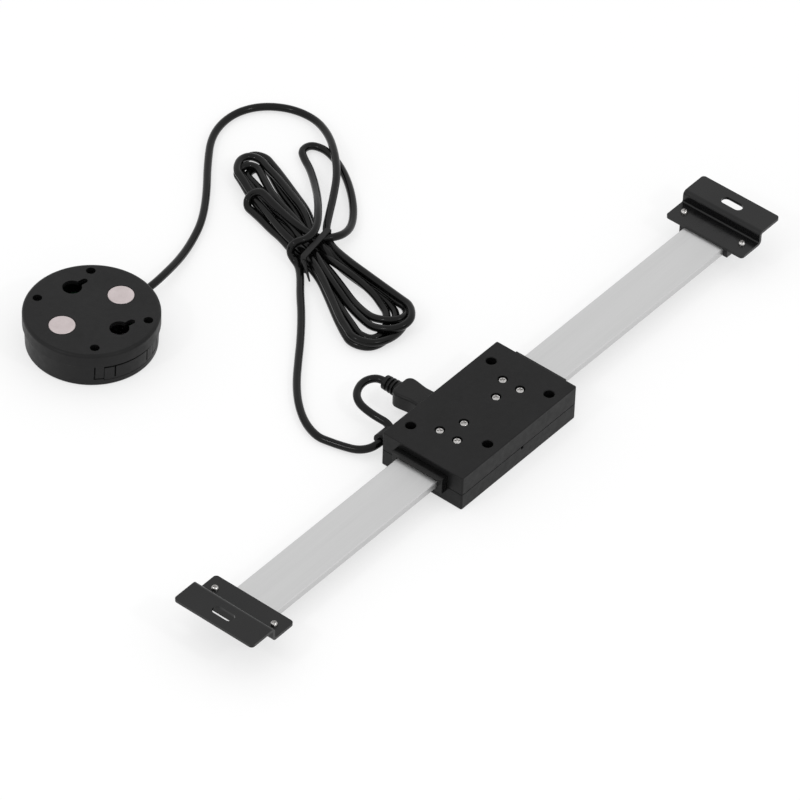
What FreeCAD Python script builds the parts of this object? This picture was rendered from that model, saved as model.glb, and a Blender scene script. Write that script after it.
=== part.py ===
"""Digital linear scale: a reading head that slides on an aluminium beam, with a corded round display.

Millimetres, +Z up. The origin is the middle of the reading head's base, which lies on the
table. +X runs along the beam and +Y points to the side of the head that the cord plugs into.
"""
import FreeCAD
import Part
import math
import os

V = FreeCAD.Vector
UP = V(0, 0, 1)

# How far a cutter runs past a face, how deep joined pieces overlap, and what counts as equal
THROUGH = 1.0
MERGE = 0.1
TINY = 1e-4

# Reading head
HEAD_LENGTH = 72.8
HEAD_WIDTH = 41.4
HEAD_HEIGHT = 16.9
HEAD_PARTING = 8.1
HEAD_WALL = 2.0
HEAD_ROOF = 2.4
HEAD_FLOOR = 2.0
HEAD_CORNER = 0.8
HEAD_EDGE = 0.35
SEAM_WIDTH = 0.35
SEAM_DEPTH = 0.5
LIP_HEIGHT = 1.2
LIP_ROOT = 2.5
LIP_THICKNESS = 0.8
PRY_X = 1.8
PRY_LENGTH = 1.5
PRY_HEIGHT = 1.4
PRY_DEPTH = 1.0

# Four blind mounting holes in the head's roof, one of them set in from its corner
MOUNT_HOLE_DIAMETER = 4.5
MOUNT_HOLE_DEPTH = 7.2
MOUNT_BOSS_WALL = 0.95
MOUNT_FLOOR = 0.8
MOUNT_REACH_X = 25.6
MOUNT_INSET_X = 13.7
MOUNT_REACH_Y = 15.0
MOUNT_CHAMFER = 0.3

# Beam, with the magnetic strip let into its underside; the head stands part of the way along it
BEAM_LENGTH = 307.1
BEAM_NEAR_REACH = 149.3
BEAM_WIDTH = 20.6
BEAM_THICKNESS = 3.5
BEAM_BASE = 8.1
BEAM_CHAMFER = 0.35
BEAM_COVERED = 10.5
STRIP_WIDTH = 12.0
STRIP_THICKNESS = 0.9
STRIP_INSET = 3.0

# Slide guides: one at each end of the head, each with a collar round the beam
RUN_CLEARANCE = 0.25
COLLAR_WIDTH = 25.8
COLLAR_BASE = 6.2
COLLAR_TOP = 13.85
COLLAR_REACH = 3.3
COLLAR_CHAMFER = 0.15
GUIDE_WALL = 1.1
GUIDE_INNER_END = 6.5
CASE_FIT = 0.1

# Guide screws: a triangle of three over each guide
GUIDE_SCREW_OUTER_X = 20.0
GUIDE_SCREW_INNER_X = 10.2
GUIDE_SCREW_Y = 4.5
GUIDE_SCREW_HEAD = 3.8
GUIDE_SCREW_RISE = 1.1
GUIDE_RECESS_GAP = 0.25
GUIDE_RECESS_DEPTH = 1.4
GUIDE_SHANK = 1.8
GUIDE_SHANK_GAP = 0.65

# Screw heads: the share of the rise that is rounded over, and the cross recess as shares of the head
SCREW_CROWN = 0.75
SCREW_CROSS_REACH = 0.6
SCREW_CROSS_WIDTH = 0.17
SCREW_CROSS_DEPTH = 0.6
SCREW_CROSS_TURN = 45.0

# Sensor board and the socket for the cord's plug
BOARD_THICKNESS = 1.2
BOARD_STANDOFF = 2.6
BOARD_MARGIN = 0.4
BOARD_POST = 4.0
BOARD_POST_X = 28.0
BOARD_POST_Y = 15.0
SENSOR_LENGTH = 9.0
SENSOR_WIDTH = 12.0
SENSOR_GAP = 0.6
PLUG_X = -5.1
PLUG_Z = 8.3
SOCKET_WIDTH = 7.9
SOCKET_HEIGHT = 4.0
SOCKET_GUIDE_GAP = 1.75
SOCKET_WALL = 0.4
SOCKET_LEG = 1.0
SOCKET_LEG_LENGTH = 3.0
SOCKET_RECESS = 0.5

# Cord plug: overmould with drawn-in sides, metal shell, ribbed strain relief
PLUG_WIDTH = 12.2
PLUG_THICKNESS = 7.8
PLUG_LENGTH = 16.4
PLUG_WAIST = 10.7
PLUG_WAIST_SHARE = 0.4
PLUG_SHOULDER_SHARE = 0.75
PLUG_MOUTH = 11.5
PLUG_CORNER = 2.8
PLUG_ROUND = 1.0
PLUG_GAP = 0.4
SHELL_FIT = 0.1
SHELL_WALL = 0.35
SHELL_END_GAP = 1.9
RELIEF_LENGTH = 7.3
RELIEF_ROOT = 7.0
RELIEF_TIP = 6.2
RELIEF_GROOVES = 3
RELIEF_GROOVE_WIDTH = 1.1
RELIEF_GROOVE_DEPTH = 0.9
RELIEF_GROOVE_START = 0.75
RELIEF_GROOVE_FLOOR = 0.6

# Cable clip on the side of the head, near its corner
CLIP_SETBACK = 8.4
CLIP_LENGTH = 6.2
CLIP_PLATE = 1.4
CLIP_HEIGHT = 10.0
CLIP_BASE = 2.4
CLIP_WALL = 1.5
CLIP_MOUTH = 1.2
CLIP_CORD_OUT = 4.9
CLIP_CORD_Z = 5.0
CLIP_CORD_GAP = 0.45

# End brackets: sheet steel bent in a Z, an inner flange on the beam and a raised outer one
SHEET = 1.3
BRACKET_WIDTH = 40.2
INNER_FLANGE = 11.7
OUTER_FLANGE = 13.7
BRACKET_STEP = 5.5
BEND_RADIUS = 0.7
BRACKET_CORNER = 1.6
SLOT_LENGTH = 10.4
SLOT_WIDTH = 4.4
SLOT_SETBACK = 7.2
BRACKET_SCREW_Y = 15.1
BRACKET_SCREW_SETBACK = 6.4
BRACKET_SCREW_HEAD = 3.0
BRACKET_SCREW_RISE = 1.5
BRACKET_SHANK = 1.8
BRACKET_SHANK_LENGTH = 4.0
SCREW_HOLE_GAP = 0.05

# End blocks: plastic caps that hold the beam's ends under the brackets
CAP_WALL = 2.2
CAP_EAR_REACH = 17.0
CAP_EAR_START = 4.4
CAP_EAR_END = 9.2
CAP_FLOOR = 0.8
CAP_END_WALL = 1.3

# Display, which lies face down with its back cover up
DISPLAY_X = -58.1
DISPLAY_Y = 156.5
DISPLAY_TURN = -11.0
DISPLAY_RADIUS = 28.4
DISPLAY_HEIGHT = 17.1
COVER_BASE = 10.55
COVER_WALL = 1.8
COVER_TOP = 2.0
COVER_ROUND = 1.4
COVER_LIP = 0.3
FRONT_RADIUS = 27.7
FRONT_FOOT_RADIUS = 27.3
FRONT_WALL = 1.8
FRONT_PLATE = 1.6
FRONT_ROUND = 0.8
DISPLAY_SEAM = 0.2

# Back cover: two keyholes, two magnets, four screw holes
KEYHOLE_Y = 15.8
KEYHOLE_X = 2.1
KEYHOLE_DIAMETER = 8.2
KEYHOLE_SLOT = 2.8
KEYHOLE_REACH = 6.3
MAGNET_X = 15.1
MAGNET_DIAMETER = 11.1
MAGNET_THICKNESS = 2.4
MAGNET_SEAT = 1.2
MAGNET_SINK = 0.1
MAGNET_POCKET_GAP = 0.15
COVER_SCREW_X = 0.6
COVER_SCREW_RADIUS = 23.6
COVER_SCREW_SPREAD = 35.5
COVER_SCREW_HOLE = 4.0
COVER_BOSS_WALL = 0.9
COVER_BOSS_FLOOR = 1.0
COVER_SCREW_HEAD = 3.4
COVER_SCREW_RISE = 1.3
COVER_SHANK = 1.8
COVER_SHANK_LENGTH = 4.2
COVER_SCREW_DEPTH = 2.2
PILLAR_DIAMETER = 4.4

# Front: window, crystal panel, board and push buttons
WINDOW_LENGTH = 36.0
WINDOW_HEIGHT = 17.0
WINDOW_X = 7.5
WINDOW_CORNER = 1.5
WINDOW_LEDGE = 1.0
WINDOW_THICKNESS = 1.1
WINDOW_SINK = 0.5
WINDOW_FIT = 0.1
PANEL_MARGIN = 1.6
PANEL_THICKNESS = 2.1
PANEL_GAP = 0.1
DISPLAY_BOARD_Z = 4.1
DISPLAY_BOARD_THICKNESS = 1.0
DISPLAY_BOARD_GAP = 0.4
BUTTON_COUNT = 4
BUTTON_PITCH = 8.6
BUTTON_X = -11.0
BUTTON_DIAMETER = 6.2
BUTTON_SINK = 0.45
BUTTON_GAP = 0.2
BUTTON_FLANGE = 0.7
BUTTON_FLANGE_REACH = 0.7
BUTTON_TRAVEL = 0.5
BUTTON_DISH = 0.25
BUTTON_DISH_REACH = 0.6
BUTTON_RIM_REACH = 0.85
BUTTON_STEM = 3.0
SWITCH_SIZE = 4.2
SWITCH_HEIGHT = 0.5

# Battery tray in the rim of the display
TRAY_WIDTH = 24.6
TRAY_BASE = 3.0
TRAY_GAP = 0.25
TRAY_HEAD_GAP = 0.95
TRAY_FLOOR = 0.7
TRAY_FACE = 1.7
TRAY_NECK = 2.0
TRAY_THROAT = 8.3
TRAY_SLIT = 0.6
TRAY_SLIT_X = 8.1
TRAY_SLIT_FOOT = 0.8
TRAY_SLIT_DEPTH = 5.5
TRAY_ARM = 1.4
TRAY_RING_WALL = 1.0
LATCH_WIDTH = 3.5
LATCH_HEIGHT = 6.9
LATCH_DEPTH = 0.8
LATCH_GROOVE = 0.55
CELL_DIAMETER = 20.0
CELL_THICKNESS = 3.2
CELL_GAP = 0.2

# Cord
CORD_DIAMETER = 3.4
GLAND_Z = 6.0
GLAND_ANGLE = 10.3
GLAND_ROOT = 5.6
GLAND_TIP = 4.6
GLAND_REACH = 4.0
GLAND_RINGS = 2
GLAND_RING_START = 0.8
GLAND_RING_WIDTH = 0.4
GLAND_RING_NECK = 0.84
FLOOR_GAP = 0.15
LEAD_STRAIGHT = 6.0
ARC_SHARE = 0.45

# Hank: the folded middle of the cord, held by a twist tie at its waist
HANK_WAIST_X = 42.0
HANK_WAIST_Y = 124.0
HANK_TURN = 79.0
HANK_WAIST_WIDTH = 17.0
HANK_WAIST_LENGTH = 15.0
HANK_HEIGHT = 8.4
HANK_ROUND = 2.4
TIE_WIDTH = 2.6
TIE_THICKNESS = 0.7
TIE_SHIFT = -3.4
TIE_TURN = 20.5
TIE_TAIL = 9.5
TIE_TAIL_WIDTH = 2.0
TIE_TAIL_TIP = 0.7
TIE_TAIL_Z = 6.5
TIE_TAIL_AHEAD = 0.9
TIE_TAIL_DROP = 0.75

# Values that follow from the ones above
HALF_LENGTH = HEAD_LENGTH / 2
HALF_WIDTH = HEAD_WIDTH / 2
BEAM_TOP = BEAM_BASE + BEAM_THICKNESS
FLANGE_TOP = BEAM_TOP + SHEET
BEAM_START = -BEAM_NEAR_REACH
BEAM_END = BEAM_START + BEAM_LENGTH
NEAR_EDGE = BEAM_START + BEAM_COVERED
FAR_EDGE = BEAM_END - BEAM_COVERED
ROOF_UNDER = HEAD_HEIGHT - HEAD_ROOF
BOARD_TOP = HEAD_FLOOR + BOARD_STANDOFF + BOARD_THICKNESS
GUIDE_SIDE = BEAM_WIDTH / 2 + RUN_CLEARANCE + GUIDE_WALL
SOCKET_BACK = GUIDE_SIDE + SOCKET_GUIDE_GAP
CLIP_X = -HALF_LENGTH + CLIP_SETBACK
CLIP_CORD_Y = HALF_WIDTH + CLIP_CORD_OUT
PLUG_FRONT = HALF_WIDTH + PLUG_GAP
PLUG_BACK = PLUG_FRONT + PLUG_LENGTH
RELIEF_END = PLUG_BACK + RELIEF_LENGTH
CORD_RADIUS = CORD_DIAMETER / 2
FLOOR_LINE = CORD_RADIUS + FLOOR_GAP
COVER_UNDER = DISPLAY_HEIGHT - COVER_TOP
FRONT_TOP = COVER_BASE - DISPLAY_SEAM
DISPLAY_BOARD_TOP = DISPLAY_BOARD_Z + DISPLAY_BOARD_THICKNESS
GLAND_END = FRONT_RADIUS + GLAND_REACH
TRAY_SEAT = DISPLAY_BOARD_TOP + TRAY_GAP + TRAY_FLOOR


def box(x0, x1, y0, y1, z0, z1):
    """A block between two corners."""
    return Part.makeBox(x1 - x0, y1 - y0, z1 - z0, V(x0, y0, z0))


def rod(diameter, z0, z1, x, y):
    """An upright cylinder."""
    return Part.makeCylinder(diameter / 2, z1 - z0, V(x, y, z0))


def outline(points):
    """A flat face inside a closed run of straight edges."""
    return Part.Face(Part.makePolygon([V(*p) for p in points] + [V(*points[0])]))


def spin(points):
    """A solid of revolution about the Z axis, from (radius, height) points."""
    return outline([(r, 0, z) for r, z in points]).revolve(V(0, 0, 0), UP, 360)


def together(solids):
    """One solid from pieces that touch or overlap."""
    return solids[0].fuse(solids[1:]).removeSplitter()


def group(solids):
    """Separate solids kept in one node."""
    return Part.Compound(solids)


def upright_edges(solid):
    """The straight edges along Z."""
    found = []
    for edge in solid.Edges:
        if len(edge.Vertexes) == 2:
            run = edge.Vertexes[1].Point.sub(edge.Vertexes[0].Point)
            if math.hypot(run.x, run.y) < TINY and abs(run.z) > TINY:
                found.append(edge)
    return found


def edges_at(solid, height):
    """The edges that lie in the level plane at a height."""
    return [e for e in solid.Edges if abs(e.BoundBox.ZMin - height) < TINY
            and abs(e.BoundBox.ZMax - height) < TINY]


def slab(length, width, corner, z0, z1, x=0.0, y=0.0):
    """A level plate with rounded corners."""
    plate = box(x - length / 2, x + length / 2, y - width / 2, y + width / 2, z0, z1)
    return plate.makeFillet(corner, upright_edges(plate))


def slot_cutter(length, width, z0, z1, x, y):
    """A round-ended slot along Y."""
    reach = length / 2 - width / 2
    ends = [rod(width, z0, z1, x, y - reach), rod(width, z0, z1, x, y + reach)]
    middle = box(x - width / 2, x + width / 2, y - reach, y + reach, z0, z1)
    return together([middle] + ends)


def pan_screw(head, rise, shank, length, x, y, seat):
    """A pan-head screw with a rounded top and a cross recess, whose head sits at a height."""
    dome = rod(head, 0, rise, 0, 0)
    dome = dome.makeFillet(rise * SCREW_CROWN, edges_at(dome, rise))
    reach = head * SCREW_CROSS_REACH / 2
    narrow = head * SCREW_CROSS_WIDTH / 2
    floor = rise * (1 - SCREW_CROSS_DEPTH)
    recess = together([box(-reach, reach, -narrow, narrow, floor, rise + THROUGH),
                       box(-narrow, narrow, -reach, reach, floor, rise + THROUGH)])
    recess.rotate(V(0, 0, 0), UP, SCREW_CROSS_TURN)
    shaft = Part.makeCylinder(shank / 2, length, V(0, 0, -length))
    screw = together([dome.cut(recess), shaft])
    screw.translate(V(x, y, seat))
    return screw


def mirrored(solid, sign):
    """The solid as drawn for the +X end, or its mirror image for the -X end."""
    return solid if sign > 0 else solid.mirror(V(0, 0, 0), V(1, 0, 0))


# Reading head

def head_block():
    """The closed outer form of the head, both halves together."""
    block = slab(HEAD_LENGTH, HEAD_WIDTH, HEAD_CORNER, 0, HEAD_HEIGHT)
    return block.makeFillet(HEAD_EDGE, edges_at(block, HEAD_HEIGHT) + edges_at(block, 0))


def head_cavity(z0, z1, inset=0.0):
    """The space inside the walls, between two heights."""
    wall = HEAD_WALL + inset
    return box(-HALF_LENGTH + wall, HALF_LENGTH - wall, -HALF_WIDTH + wall, HALF_WIDTH - wall, z0, z1)


def mount_places():
    """The four mounting holes: three in the corners, the fourth set in along the beam."""
    return [(MOUNT_REACH_X, MOUNT_REACH_Y), (MOUNT_REACH_X, -MOUNT_REACH_Y),
            (-MOUNT_REACH_X, MOUNT_REACH_Y), (-MOUNT_INSET_X, -MOUNT_REACH_Y)]


def guide_screw_places():
    """A triangle over each guide, pointing at the middle of the head."""
    places = []
    for sign in (-1, 1):
        places += [(sign * GUIDE_SCREW_OUTER_X, GUIDE_SCREW_Y), (sign * GUIDE_SCREW_OUTER_X, -GUIDE_SCREW_Y)]
        places.append((sign * GUIDE_SCREW_INNER_X, 0.0))
    return places


def case_openings():
    """What both case halves leave open: the collars and the plug."""
    half = COLLAR_WIDTH / 2 + CASE_FIT
    collars = box(-HALF_LENGTH - THROUGH, HALF_LENGTH + THROUGH, -half, half,
                  COLLAR_BASE - CASE_FIT, COLLAR_TOP + CASE_FIT)
    collars = collars.cut(head_cavity(0, HEAD_HEIGHT))
    width = SOCKET_WIDTH / 2 + CASE_FIT
    height = SOCKET_HEIGHT / 2 + CASE_FIT
    socket = box(PLUG_X - width, PLUG_X + width, HALF_WIDTH - HEAD_WALL - THROUGH, HALF_WIDTH + THROUGH,
                 PLUG_Z - height, PLUG_Z + height)
    return [*collars.Solids, socket]


def head_upper_case():
    """Roof and walls above the parting line, with the bosses of the mounting holes."""
    above = box(-HEAD_LENGTH, HEAD_LENGTH, -HEAD_WIDTH, HEAD_WIDTH, HEAD_PARTING, HEAD_HEIGHT + THROUGH)
    shell = head_block().common(above).cut(head_cavity(HEAD_PARTING - THROUGH, ROOF_UNDER))
    boss = MOUNT_HOLE_DIAMETER + 2 * MOUNT_BOSS_WALL
    foot = HEAD_HEIGHT - MOUNT_HOLE_DEPTH - MOUNT_FLOOR
    case = together([shell] + [rod(boss, foot, ROOF_UNDER + MERGE, x, y) for x, y in mount_places()])
    cutters = case_openings()
    for x, y in mount_places():
        cutters.append(rod(MOUNT_HOLE_DIAMETER, HEAD_HEIGHT - MOUNT_HOLE_DEPTH, HEAD_HEIGHT + THROUGH, x, y))
        rim = MOUNT_HOLE_DIAMETER / 2
        mouth = V(x, y, HEAD_HEIGHT - MOUNT_CHAMFER)
        cutters.append(Part.makeCone(rim, rim + MOUNT_CHAMFER, MOUNT_CHAMFER, mouth))
    for x, y in guide_screw_places():
        recess = GUIDE_SCREW_HEAD + 2 * GUIDE_RECESS_GAP
        cutters.append(rod(recess, HEAD_HEIGHT - GUIDE_RECESS_DEPTH, HEAD_HEIGHT + THROUGH, x, y))
        cutters.append(rod(GUIDE_SHANK + 2 * SCREW_HOLE_GAP, ROOF_UNDER - THROUGH, HEAD_HEIGHT, x, y))
    return case.cut(cutters)


def head_lower_case():
    """Floor and walls below the parting line, with a lip that locates the upper half and a pry notch."""
    below = box(-HEAD_LENGTH, HEAD_LENGTH, -HEAD_WIDTH, HEAD_WIDTH, -THROUGH, HEAD_PARTING)
    shell = head_block().common(below).cut(head_cavity(HEAD_FLOOR, HEAD_PARTING + THROUGH))
    lip = head_cavity(HEAD_PARTING - LIP_ROOT, HEAD_PARTING + LIP_HEIGHT)
    lip = lip.cut(head_cavity(0, HEAD_HEIGHT, LIP_THICKNESS))
    seat = HEAD_FLOOR + BOARD_STANDOFF
    posts = [rod(BOARD_POST, HEAD_FLOOR - MERGE, seat, sx * BOARD_POST_X, sy * BOARD_POST_Y)
             for sx in (-1, 1) for sy in (-1, 1)]
    case = together([shell, lip] + posts)
    half = COLLAR_WIDTH / 2 + CASE_FIT
    lip_gap = box(-HALF_LENGTH, HALF_LENGTH, -half, half, COLLAR_BASE - CASE_FIT, HEAD_HEIGHT)
    boss = MOUNT_HOLE_DIAMETER + 2 * MOUNT_BOSS_WALL + 2 * CASE_FIT
    room = [rod(boss, HEAD_PARTING - THROUGH, HEAD_HEIGHT, x, y) for x, y in mount_places()]
    ring = slab(HEAD_LENGTH + THROUGH, HEAD_WIDTH + THROUGH, HEAD_CORNER,
                HEAD_PARTING - SEAM_WIDTH, HEAD_PARTING)
    core = slab(HEAD_LENGTH - 2 * SEAM_DEPTH, HEAD_WIDTH - 2 * SEAM_DEPTH, HEAD_CORNER, 0, HEAD_HEIGHT)
    pry = box(PRY_X - PRY_LENGTH / 2, PRY_X + PRY_LENGTH / 2, -HALF_WIDTH - THROUGH, -HALF_WIDTH + PRY_DEPTH,
              HEAD_PARTING - PRY_HEIGHT, HEAD_PARTING)
    return case.cut(case_openings() + [lip_gap, ring.cut(core), pry] + room)


def slide_guide(sign):
    """A guide block screwed under the roof, with a collar that stands out of the end of the head."""
    inner = box(GUIDE_INNER_END, HALF_LENGTH - HEAD_WALL, -GUIDE_SIDE, GUIDE_SIDE, COLLAR_BASE, ROOF_UNDER)
    collar = box(HALF_LENGTH - HEAD_WALL - MERGE, HALF_LENGTH + COLLAR_REACH,
                 -COLLAR_WIDTH / 2, COLLAR_WIDTH / 2, COLLAR_BASE, COLLAR_TOP)
    front = [e for e in collar.Edges if abs(e.BoundBox.XMin - HALF_LENGTH - COLLAR_REACH) < TINY]
    collar = collar.makeChamfer(COLLAR_CHAMFER, front)
    block = together([inner, collar])
    channel = box(0, HEAD_LENGTH, -BEAM_WIDTH / 2 - RUN_CLEARANCE, BEAM_WIDTH / 2 + RUN_CLEARANCE,
                  BEAM_BASE - RUN_CLEARANCE, BEAM_TOP + RUN_CLEARANCE)
    holes = [rod(GUIDE_SHANK + 2 * SCREW_HOLE_GAP, BEAM_TOP + RUN_CLEARANCE, HEAD_HEIGHT, x, y)
             for x, y in guide_screw_places() if x > 0]
    return mirrored(block.cut([channel] + holes), sign)


def guide_screws():
    """Six screws in two triangles, sunk in the roof."""
    seat = HEAD_HEIGHT - GUIDE_RECESS_DEPTH
    length = seat - BEAM_TOP - RUN_CLEARANCE - GUIDE_SHANK_GAP
    return group([pan_screw(GUIDE_SCREW_HEAD, GUIDE_SCREW_RISE, GUIDE_SHANK, length, x, y, seat)
                  for x, y in guide_screw_places()])


def sensor_board():
    """Circuit board on the lower case's posts, with the sensor under the beam's strip."""
    inset = HEAD_WALL + LIP_THICKNESS + BOARD_MARGIN
    base = HEAD_FLOOR + BOARD_STANDOFF
    board = slab(HEAD_LENGTH - 2 * inset, HEAD_WIDTH - 2 * inset, HEAD_CORNER, base, BOARD_TOP)
    chip = box(-SENSOR_LENGTH / 2, SENSOR_LENGTH / 2, -SENSOR_WIDTH / 2, SENSOR_WIDTH / 2,
               BOARD_TOP - MERGE, BEAM_BASE - SENSOR_GAP)
    return together([board, chip])


def plug_socket():
    """Metal socket on the board: an open-fronted shell on two legs."""
    back = SOCKET_BACK
    front = HALF_WIDTH - SOCKET_RECESS
    x0 = PLUG_X - SOCKET_WIDTH / 2
    x1 = PLUG_X + SOCKET_WIDTH / 2
    z0 = PLUG_Z - SOCKET_HEIGHT / 2
    shell = box(x0, x1, back, front, z0, PLUG_Z + SOCKET_HEIGHT / 2)
    hollow = box(x0 + SOCKET_WALL, x1 - SOCKET_WALL, back + SOCKET_WALL, front + THROUGH,
                 z0 + SOCKET_WALL, PLUG_Z + SOCKET_HEIGHT / 2 - SOCKET_WALL)
    legs = [box(x0, x0 + SOCKET_LEG, back, back + SOCKET_LEG_LENGTH, BOARD_TOP, z0 + MERGE),
            box(x1 - SOCKET_LEG, x1, back, back + SOCKET_LEG_LENGTH, BOARD_TOP, z0 + MERGE)]
    return together([shell.cut(hollow)] + legs)


def cable_clip():
    """A clip on the side of the head: a plate with a hooked arm round the cord."""
    hole = CORD_DIAMETER + 2 * CLIP_CORD_GAP
    reach = CLIP_CORD_Y + hole / 2 + CLIP_WALL
    x0 = CLIP_X - CLIP_LENGTH / 2
    x1 = CLIP_X + CLIP_LENGTH / 2
    plate = box(x0, x1, HALF_WIDTH, HALF_WIDTH + CLIP_PLATE, CLIP_BASE, CLIP_BASE + CLIP_HEIGHT)
    outer = Part.makeCylinder(hole / 2 + CLIP_WALL, CLIP_LENGTH, V(x0, CLIP_CORD_Y, CLIP_CORD_Z), V(1, 0, 0))
    arm = box(x0, x1, HALF_WIDTH, CLIP_CORD_Y, CLIP_CORD_Z + hole / 2, CLIP_CORD_Z + hole / 2 + CLIP_WALL)
    clip = together([plate, outer, arm])
    bore = Part.makeCylinder(hole / 2, CLIP_LENGTH + 2 * THROUGH,
                             V(x0 - THROUGH, CLIP_CORD_Y, CLIP_CORD_Z), V(1, 0, 0))
    under = box(x0 - THROUGH, x1 + THROUGH, HALF_WIDTH + CLIP_PLATE, reach + THROUGH,
                0, CLIP_CORD_Z - CLIP_MOUTH)
    clip = clip.cut([bore, under, box(x0 - THROUGH, x1 + THROUGH, 0, HALF_WIDTH, 0, HEAD_HEIGHT)])
    return max(clip.Solids, key=lambda s: s.Volume)


# Beam and end brackets

def beam():
    """The aluminium bar, its long edges broken, grooved underneath for the strip."""
    bar = box(BEAM_START, BEAM_END, -BEAM_WIDTH / 2, BEAM_WIDTH / 2, BEAM_BASE, BEAM_TOP)
    long_edges = [e for e in bar.Edges if e.BoundBox.XLength > BEAM_WIDTH]
    bar = bar.makeChamfer(BEAM_CHAMFER, long_edges)
    groove = box(BEAM_START - THROUGH, BEAM_END + THROUGH, -STRIP_WIDTH / 2, STRIP_WIDTH / 2,
                 BEAM_BASE - THROUGH, BEAM_BASE + STRIP_THICKNESS)
    return bar.cut(groove)


def scale_strip():
    """The magnetic strip that the head reads, flush with the beam's underside."""
    return box(BEAM_START + STRIP_INSET, BEAM_END - STRIP_INSET, -STRIP_WIDTH / 2, STRIP_WIDTH / 2,
               BEAM_BASE, BEAM_BASE + STRIP_THICKNESS)


def bracket(edge, sign):
    """A Z bracket, drawn outwards from its inner edge: flange on the beam, riser, raised flange."""
    riser = INNER_FLANGE
    end = INNER_FLANGE + OUTER_FLANGE
    top = FLANGE_TOP + BRACKET_STEP
    profile = [(0, BEAM_TOP), (riser + SHEET, BEAM_TOP), (riser + SHEET, top - SHEET), (end, top - SHEET),
               (end, top), (riser, top), (riser, FLANGE_TOP), (0, FLANGE_TOP)]
    half = BRACKET_WIDTH / 2
    sheet = outline([(s, -half, z) for s, z in profile]).extrude(V(0, BRACKET_WIDTH, 0))
    bends = {(riser + SHEET, BEAM_TOP): BEND_RADIUS + SHEET, (riser, top): BEND_RADIUS + SHEET,
             (riser + SHEET, top - SHEET): BEND_RADIUS, (riser, FLANGE_TOP): BEND_RADIUS}
    for (s, z), radius in bends.items():
        line = [e for e in sheet.Edges if e.BoundBox.YLength > half
                and abs(e.BoundBox.XMin - s) + abs(e.BoundBox.XMax - s) < TINY
                and abs(e.BoundBox.ZMin - z) + abs(e.BoundBox.ZMax - z) < TINY]
        sheet = sheet.makeFillet(radius, line)
    corners = [e for e in upright_edges(sheet) if e.BoundBox.XMin < TINY or e.BoundBox.XMax > end - TINY]
    sheet = sheet.makeFillet(BRACKET_CORNER, corners)
    cutters = [slot_cutter(SLOT_LENGTH, SLOT_WIDTH, top - 2 * SHEET, top + THROUGH, riser + SLOT_SETBACK, 0)]
    hole = BRACKET_SHANK + 2 * SCREW_HOLE_GAP
    cutters += [rod(hole, BEAM_TOP - THROUGH, FLANGE_TOP + THROUGH, BRACKET_SCREW_SETBACK, y)
                for y in (-BRACKET_SCREW_Y, BRACKET_SCREW_Y)]
    sheet = mirrored(sheet.cut(cutters), sign)
    sheet.translate(V(edge, 0, 0))
    return sheet


def end_block(edge, sign):
    """The plastic cap under a bracket: walls beside the beam, ears for the screws, a floor and an end."""
    half = BEAM_WIDTH / 2
    wall = half + CAP_WALL
    back = BEAM_COVERED + CAP_END_WALL
    cap = box(0, back, -wall, wall, BEAM_BASE, BEAM_TOP)
    ears = box(CAP_EAR_START, CAP_EAR_END, -CAP_EAR_REACH, CAP_EAR_REACH, BEAM_BASE, BEAM_TOP)
    floor = box(CAP_EAR_START, back, -wall, wall, BEAM_BASE - CAP_FLOOR, BEAM_BASE)
    cap = together([cap, ears, floor])
    rim = [e for e in upright_edges(cap) if e.BoundBox.XMin > CAP_EAR_START - TINY
           and e.BoundBox.XMax < CAP_EAR_END + TINY and e.BoundBox.YMin ** 2 > CAP_EAR_REACH ** 2 - TINY]
    cap = cap.makeFillet(BRACKET_CORNER, rim)
    room = box(-THROUGH, BEAM_COVERED, -half, half, BEAM_BASE, BEAM_TOP + THROUGH)
    depth = BRACKET_SHANK_LENGTH - SHEET
    hole = BRACKET_SHANK + 2 * SCREW_HOLE_GAP
    holes = [rod(hole, BEAM_TOP - depth, BEAM_TOP + THROUGH, BRACKET_SCREW_SETBACK, y)
             for y in (-BRACKET_SCREW_Y, BRACKET_SCREW_Y)]
    cap = mirrored(cap.cut([room] + holes), sign)
    cap.translate(V(edge, 0, 0))
    return cap


def bracket_screws():
    """Two screws in each bracket, outside the beam's width."""
    places = [(edge + sign * BRACKET_SCREW_SETBACK, y) for edge, sign in ((NEAR_EDGE, -1), (FAR_EDGE, 1))
              for y in (-BRACKET_SCREW_Y, BRACKET_SCREW_Y)]
    return group([pan_screw(BRACKET_SCREW_HEAD, BRACKET_SCREW_RISE, BRACKET_SHANK, BRACKET_SHANK_LENGTH,
                            x, y, FLANGE_TOP) for x, y in places])


# Plug

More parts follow.
